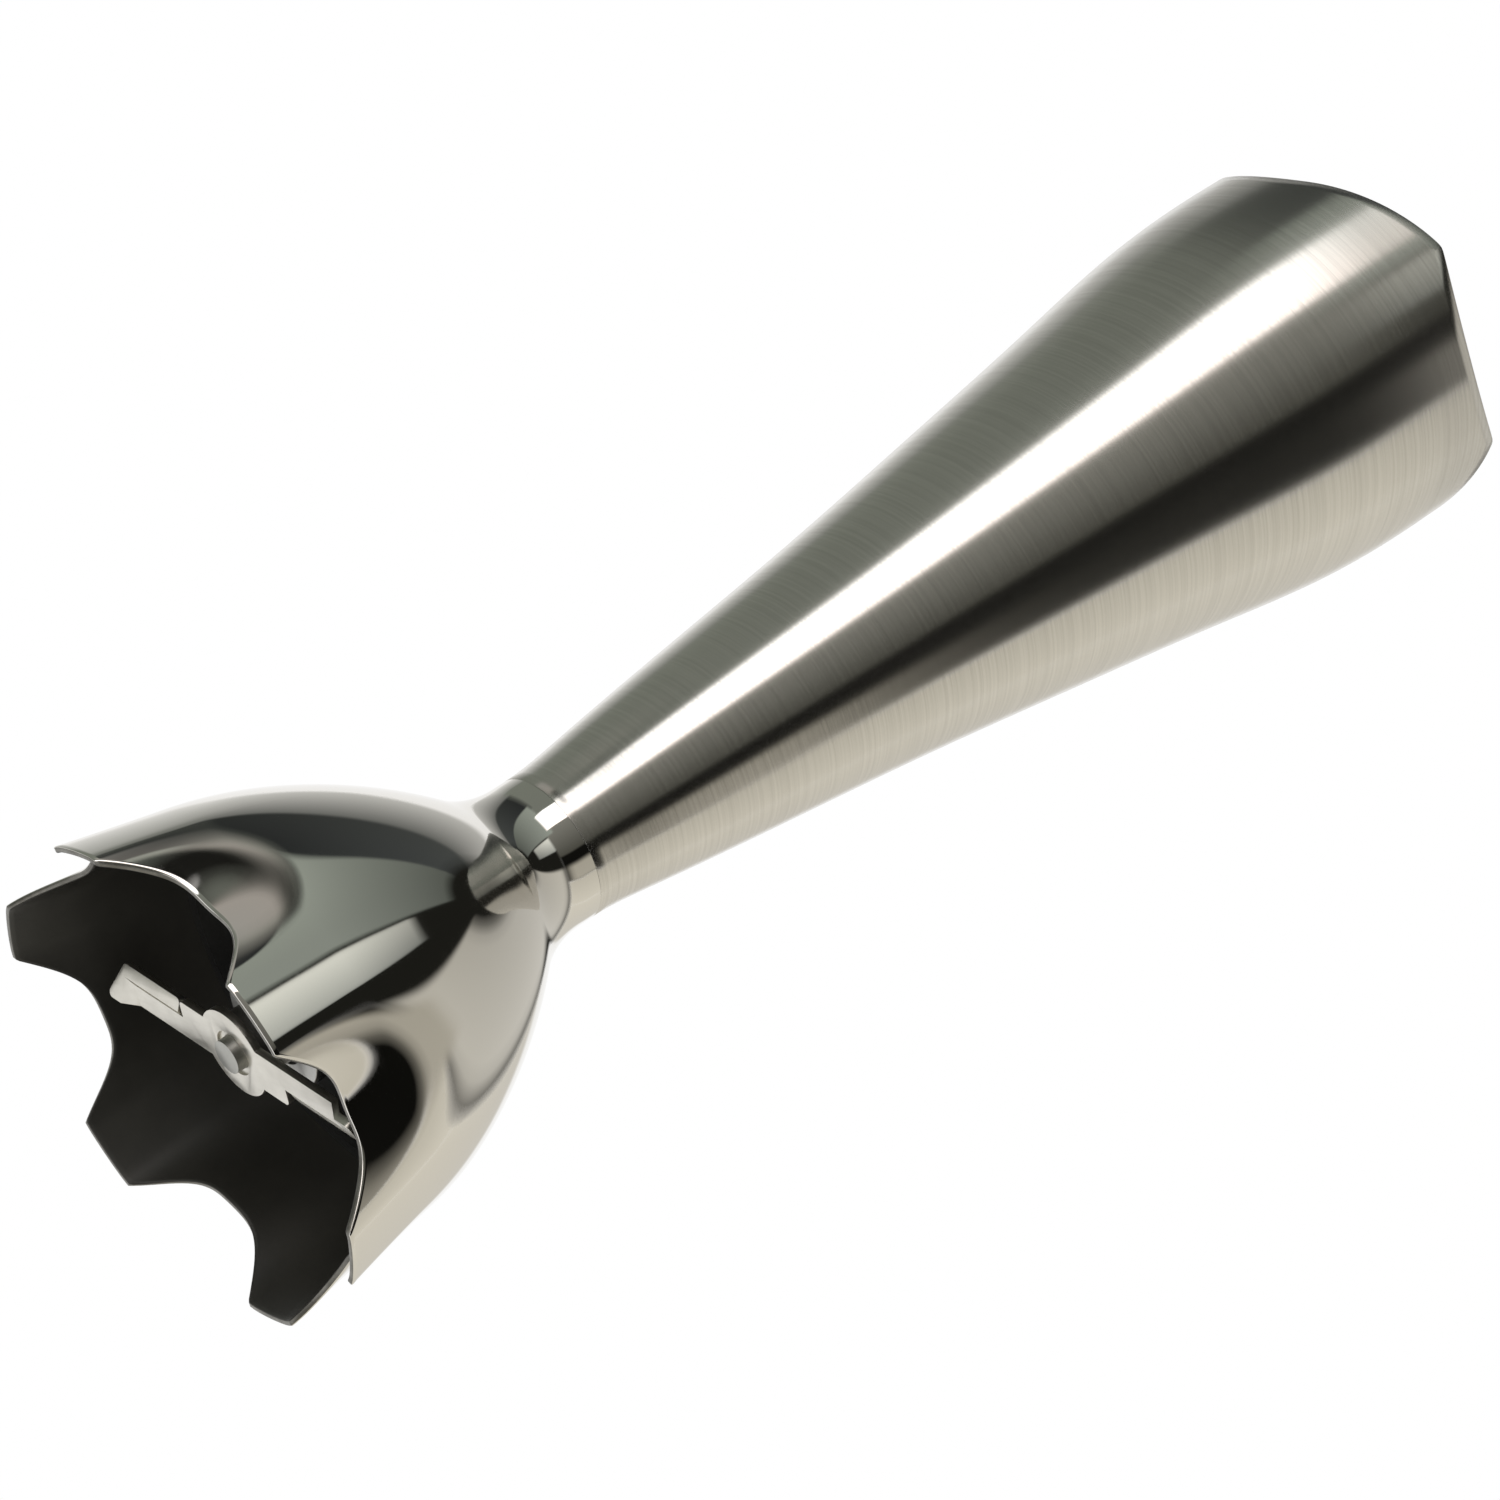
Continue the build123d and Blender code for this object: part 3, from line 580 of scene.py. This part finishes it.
# Studio: soft cards that show only in reflections, the nearest first
studio = {
    "far": {"reach": 3.0, "height": 0.1, "layerStep": 0.02},
    "near": {"reach": 0.15, "height": 0.01, "layerStep": 0.002},
    "degreesAcross": 1.5, "degreesUp": 3, "leastSteps": 8,      # how finely a card is divided
}
cards = {
    # azimuths and elevations in degrees, colours from the first azimuth to the last,
    # strengths from the low edge to the high one, and the width of the soft edges in degrees
    "left_flag": {"stand": "near", "turn": (176, 208), "lift": (13, 33),
                  "ends": ("#1c1c1a", "#1c1c1a"), "soft": 7},
    "left_blush": {"stand": "near", "turn": (152, 185), "lift": (2, 32),
                   "ends": ("#a6a6a2", "#aea8a2"), "soft": 8},
    "right_beige": {"stand": "near", "turn": (276, 309), "lift": (25, 53),
                    "ends": ("#b2aea2", "#bab6ab"), "soft": 9},
    "window": {"turn": (228, 253), "lift": (40, 68),
               "ends": ("#f4f6ee", "#a8aca8"), "glow": (1.1, 0.5), "soft": 2},
    "strip_light": {"turn": (190, 220), "lift": (-55, 38),
                    "ends": ("#ffffff", "#fff4f0"), "glow": (2.2, 2.2), "soft": 2},
    "upper_grey": {"turn": (168, 228), "lift": (31, 81),
                   "ends": ("#80867f", "#848a84"), "glow": (1.6, 0.45), "soft": 3},
    "upper_shade": {"turn": (128, 180), "lift": (29, 81),
                    "ends": ("#424544", "#3c3f40"), "glow": (0.45, 1.4), "soft": 5},
    "upper_pale": {"turn": (92, 136), "lift": (29, 81),
                   "ends": ("#d6d6d3", "#565957"), "glow": (1, 0.8), "soft": 5},
    "upper_wall": {"turn": (279, 405), "lift": (40, 83),
                   "ends": ("#d2cfc6", "#dcdad4"), "glow": (1, 0.7), "soft": 8},
    "upper_backing": {"turn": (100, 410), "lift": (40, 89.9), "ends": ("#1e1e1b", "#1e1e1b"), "soft": 3},
    "dark_ceiling": {"turn": (0, 360), "lift": (66, 89.9), "ends": ("#1e1e1c", "#1e1e1c"), "soft": 10},
    "pale_card": {"turn": (91, 124), "lift": (-55, 46), "ends": ("#eeeeec", "#7c807a"), "soft": 5},
    "grey_card": {"turn": (116, 194), "lift": (-55, 46), "ends": ("#7e837a", "#7c8079"), "soft": 4},
    "shade_card": {"turn": (217, 266), "lift": (-55, 46), "ends": ("#8a8a84", "#4c4c46"), "soft": 3},
    "black_flag": {"turn": (256, 308), "lift": (-55, 46), "ends": ("#141412", "#0e0e0c"), "soft": 4},
    "beige_wall": {"turn": (303, 352), "lift": (-55, 46), "ends": ("#cecabe", "#e6e2d6"), "soft": 7},
    "pale_wall": {"turn": (344, 404), "lift": (-55, 46), "ends": ("#e6e2d6", "#d4d1ca"), "soft": 7},
}


def makeCardMaterial():
    # a card gives back the colour painted on it and fades out at its edges
    material, tree = newMaterial("studioCard")
    glow = addNode(tree, "ShaderNodeAttribute", attribute_name="glow")
    cover = addNode(tree, "ShaderNodeAttribute", attribute_name="cover")
    lit = addNode(tree, "ShaderNodeEmission", {"Color": glow.outputs["Color"], "Strength": 1.0})
    clear = addNode(tree, "ShaderNodeBsdfTransparent")
    shown = addNode(tree, "ShaderNodeMixShader", {
        0: cover.outputs["Fac"], 1: clear.outputs[0], 2: lit.outputs[0]})
    addNode(tree, "ShaderNodeOutputMaterial", {"Surface": shown.outputs[0]})
    return material


def smoothStep(value):
    value = min(1.0, max(0.0, value))
    return value * value * (3 - 2 * value)


def makeCard(name, card, layer, material):
    first, last = card["turn"]
    low, high = card["lift"]
    stand = studio[card.get("stand", "far")]
    reach = stand["reach"] + stand["layerStep"] * layer
    across = max(studio["leastSteps"], int((last - first) / studio["degreesAcross"]))
    upward = max(studio["leastSteps"], int((high - low) / studio["degreesUp"]))
    firstColour, lastColour = [linear(colour)[:3] for colour in card["ends"]]
    lowGlow, highGlow = card.get("glow", (1, 1))
    columns, glow, cover = [], [], []
    for c in range(across + 1):
        share = c / across
        turn = radians(first + (last - first) * share)
        column = []
        for r in range(upward + 1):
            lift = radians(low + (high - low) * r / upward)
            column.append((reach * cos(lift) * cos(turn), reach * cos(lift) * sin(turn),
                           stand["height"] + reach * sin(lift)))
            strength = lowGlow + (highGlow - lowGlow) * r / upward
            glow += [strength * (a + (b - a) * share) for a, b in zip(firstColour, lastColour)] + [1.0]
            sides = min(share, 1 - share) * (last - first) / card["soft"] if last - first < 360 else 1.0
            ends = min(r, upward - r) / upward * (high - low) / card["soft"]
            cover.append(smoothStep(sides) * smoothStep(ends))
        columns.append(column)
    piece = newObject(name, gridMesh(name, columns, False))
    piece.data.attributes.new("glow", "FLOAT_COLOR", "POINT").data.foreach_set("color", glow)
    piece.data.attributes.new("cover", "FLOAT", "POINT").data.foreach_set("value", cover)
    piece.data.materials.append(material)
    hideFrom(piece, "camera", "diffuse", "shadow", "transmission")


cardMaterial = makeCardMaterial()
for layer, (name, card) in enumerate(cards.items()):
    makeCard(name, card, layer, cardMaterial)
print("studio cards:", len(cards))


# Floor: pale, keeps the shadow near the object and fades to white; seen from above only
def makeFloor():
    look = {"half": 1.6, "colour": "#f4f3f1", "fadeFrom": 0.25, "fadeTo": 0.75, "drop": 0.05 * mm}
    half = look["half"]
    mesh = bpy.data.meshes.new("studioFloor")
    mesh.from_pydata([(-half, -half, 0), (half, -half, 0), (half, half, 0), (-half, half, 0)],
                     [], [(0, 1, 2, 3)])
    floor = newObject("studio_floor", mesh)
    floor.location.z = -look["drop"]
    material, tree = newMaterial("paintedBoardPale")
    place = addNode(tree, "ShaderNodeTexCoord")
    far = addNode(tree, "ShaderNodeVectorMath", {0: place.outputs["Object"]}, operation="LENGTH")
    fade = addNode(tree, "ShaderNodeMapRange", {
        "Value": far.outputs["Value"], "From Min": look["fadeFrom"], "From Max": look["fadeTo"]},
        interpolation_type="SMOOTHSTEP")
    board = addNode(tree, "ShaderNodeBsdfDiffuse", {"Color": linear(look["colour"])})
    white = addNode(tree, "ShaderNodeEmission", {"Color": (1, 1, 1, 1), "Strength": 1.0})
    shown = addNode(tree, "ShaderNodeMixShader", {
        0: fade.outputs[0], 1: board.outputs[0], 2: white.outputs[0]})
    below = addNode(tree, "ShaderNodeNewGeometry")
    clear = addNode(tree, "ShaderNodeBsdfTransparent")
    oneSided = addNode(tree, "ShaderNodeMixShader", {
        0: below.outputs["Backfacing"], 1: shown.outputs[0], 2: clear.outputs[0]})
    addNode(tree, "ShaderNodeOutputMaterial", {"Surface": oneSided.outputs[0]})
    mesh.materials.append(material)
    hideFrom(floor, "glossy", "diffuse", "transmission", "shadow")


makeFloor()


# Light: white all round, plain on the object, and one soft lamp for the shadow
def makeLight():
    light = {"plain": 0.7, "lampPower": 5.0, "lampSize": 0.9, "lampPlace": (-0.5, -0.7, 1.3),
             "lampAim": (0, 0, 0.08)}
    world = bpy.data.worlds.new("whiteStudio")
    bpy.context.scene.world = world
    world.use_nodes = True
    tree = world.node_tree
    tree.nodes.clear()
    ray = addNode(tree, "ShaderNodeLightPath")
    seen = addNode(tree, "ShaderNodeMath", {
        0: ray.outputs["Is Camera Ray"], 1: ray.outputs["Is Glossy Ray"]}, operation="MAXIMUM")
    seen = addNode(tree, "ShaderNodeMath", {
        0: seen.outputs[0], 1: ray.outputs["Is Transmission Ray"]}, operation="MAXIMUM")
    strength = addNode(tree, "ShaderNodeMapRange", {
        "Value": seen.outputs[0], "To Min": light["plain"], "To Max": 1.0})
    sky = addNode(tree, "ShaderNodeBackground", {"Color": (1, 1, 1, 1), "Strength": strength.outputs[0]})
    addNode(tree, "ShaderNodeOutputWorld", {"Surface": sky.outputs[0]})
    lamp = bpy.data.lights.new("softLamp", "AREA")
    lamp.shape = "DISK"
    lamp.size = light["lampSize"]
    lamp.energy = light["lampPower"]
    lampObject = newObject("soft_lamp", lamp)
    lampObject.location = light["lampPlace"]
    aim = Vector(light["lampAim"]) - lampObject.location
    lampObject.rotation_euler = aim.to_track_quat("-Z", "Y").to_euler()
    hideFrom(lampObject, "glossy")


makeLight()


# Camera: looks up into the bell from below, rolled so that the wand lies across the frame
def makeCamera():
    shot = {"place": (-0.208682, -0.419172, -0.172755), "right": (0.30334536, -0.61007042, 0.73198065),
            "up": (-0.86718455, 0.14163374, 0.47742104), "lens": 103.2, "sensor": 36.0, "nearest": 0.01}
    camera = bpy.data.cameras.new("photoCamera")
    camera.lens = shot["lens"]
    camera.sensor_width = shot["sensor"]
    camera.clip_start = shot["nearest"]
    cameraObject = newObject("photo_camera", camera)
    right, up = Vector(shot["right"]), Vector(shot["up"])
    turn = Matrix((right, up, right.cross(up))).transposed().to_4x4()
    cameraObject.matrix_world = Matrix.Translation(shot["place"]) @ turn
    bpy.context.scene.camera = cameraObject


makeCamera()
print("floor, light and camera set")
bpy.context.scene.view_settings.view_transform = "Standard"
print("finished")
